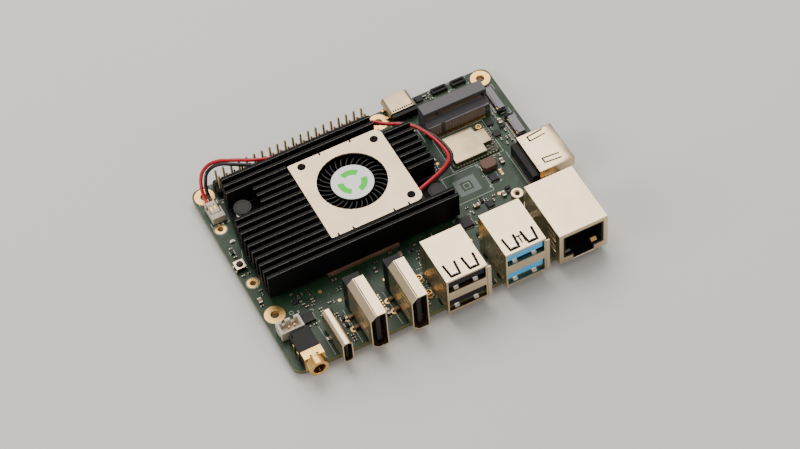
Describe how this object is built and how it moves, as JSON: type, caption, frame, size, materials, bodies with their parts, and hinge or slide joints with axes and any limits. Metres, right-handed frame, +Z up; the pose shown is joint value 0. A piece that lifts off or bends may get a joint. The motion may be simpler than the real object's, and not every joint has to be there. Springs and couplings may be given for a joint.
{
  "type": "single board computer",
  "caption": "Flat circuit board with a finned cooler and blower fan, a pin header, stacked ports along the front edge and sockets on the back and right edges.",
  "frame": {"origin": "centre of the circuit board's underside", "axes": "+X along the long front edge to the right, +Y from the port edge to the header edge, +Z up from the component side"},
  "size_m": [0.1042, 0.0794, 0.0185],
  "materials": {
    "board": "solder resist over glass-fibre laminate, satin",
    "nickel": "nickel-plated sheet, bright",
    "anodised": "black anodised, satin",
    "fan_plate": "brushed sheet, warm satin",
    "black_plastic": "moulded, fine grain",
    "grey_plastic": "moulded, satin",
    "white_plastic": "moulded, satin",
    "blue_plastic": "moulded, glossy",
    "gold": "gold flash, bright",
    "epoxy": "moulded chip resin, matte",
    "substrate": "chip carrier edge, satin",
    "thermal_pad": "soft pad, matte",
    "ferrite": "pressed ferrite, matte",
    "steel": "plated steel, satin",
    "wire_red": "wire insulation, satin",
    "wire_black": "wire insulation, satin"
  },
  "bodies": {
    "computer": {"antenna_connector_1": "gold", "antenna_connector_2": "gold", "audio_codec_chip": "epoxy", "audio_jack_barrel": "gold", "audio_jack_body": "black_plastic", "back_socket_left": "epoxy", "back_socket_right": "epoxy", "battery_connector": "white_plastic", "camera_connector_body": "black_plastic", "circuit_board": "board", "display_connector_body": "black_plastic", "fan_housing": "black_plastic", "fan_plate": "fan_plate", "fan_plug": "white_plastic", "fan_screw_1": "steel", "fan_screw_2": "steel", "fan_screw_3": "steel", "fan_socket": "white_plastic", "fan_wire_black": "wire_black", "fan_wire_red": "wire_red", "gpio_header": "gold", "hdmi_1_core": "black_plastic", "hdmi_1_shell": "nickel", "hdmi_2_core": "black_plastic", "hdmi_2_shell": "nickel", "hdmi_side_core": "black_plastic", "hdmi_side_shell": "nickel", "heatsink": "anodised", "inductor": "ferrite", "m2_socket": "grey_plastic", "m2_standoff": "steel", "main_processor": "substrate", "memory_chip_1": "epoxy", "network_port_core": "black_plastic", "network_port_shell": "nickel", "power_button_body": "nickel", "power_chip": "epoxy", "push_pin_spring_1": "steel", "push_pin_spring_2": "steel", "status_led": "white_plastic", "thermal_pad": "thermal_pad", "usb2_core": "black_plastic", "usb2_shell": "nickel", "usb3_core": "blue_plastic", "usb3_shell": "nickel", "usb_c_back_core": "black_plastic", "usb_c_back_shell": "nickel", "usb_c_front_core": "black_plastic", "usb_c_front_shell": "nickel", "usb_hub_chip": "epoxy", "wifi_module": "board", "wifi_shield": "nickel"},
    "rotor": {"fan_rotor": "black_plastic", "fan_hub_label": "white_plastic"},
    "power_button": {"power_button_plunger": "black_plastic"},
    "camera_latch": {"camera_connector_latch": "grey_plastic"},
    "display_latch": {"display_connector_latch": "grey_plastic"},
    "left_push_pin": {"push_pin_1": "black_plastic"},
    "right_push_pin": {"push_pin_2": "black_plastic"}
  },
  "joints": [
    {"name": "fan_spin", "type": "hinge", "parent": "computer", "child": "rotor", "pos_m": [-0.0084, 0.0094, 0.009], "axis": [0, 0, 1], "continuous": true},
    {"name": "power_button_press", "type": "slide", "parent": "computer", "child": "power_button", "axis": [0, 0, -1], "range_m": [0, 0.0003], "stiffness_N_per_m": 2000, "springref_m": -0.0003},
    {"name": "camera_latch_hinge", "type": "hinge", "parent": "computer", "child": "camera_latch", "pos_m": [0.04688, 0.0234, 0.00328], "axis": [0, 1, 0], "range_deg": [0, 90]},
    {"name": "display_latch_hinge", "type": "hinge", "parent": "computer", "child": "display_latch", "pos_m": [0.04788, 0.0112, 0.00328], "axis": [0, 1, 0], "range_deg": [0, 90]},
    {"name": "left_push_pin_slide", "type": "slide", "parent": "computer", "child": "left_push_pin", "axis": [0, 0, -1], "range_m": [0, 0.0012], "stiffness_N_per_m": 800, "springref_m": -0.002, "deforming": ["push_pin_spring_1"]},
    {"name": "right_push_pin_slide", "type": "slide", "parent": "computer", "child": "right_push_pin", "axis": [0, 0, -1], "range_m": [0, 0.0012], "stiffness_N_per_m": 800, "springref_m": -0.002, "deforming": ["push_pin_spring_2"]}
  ]
}
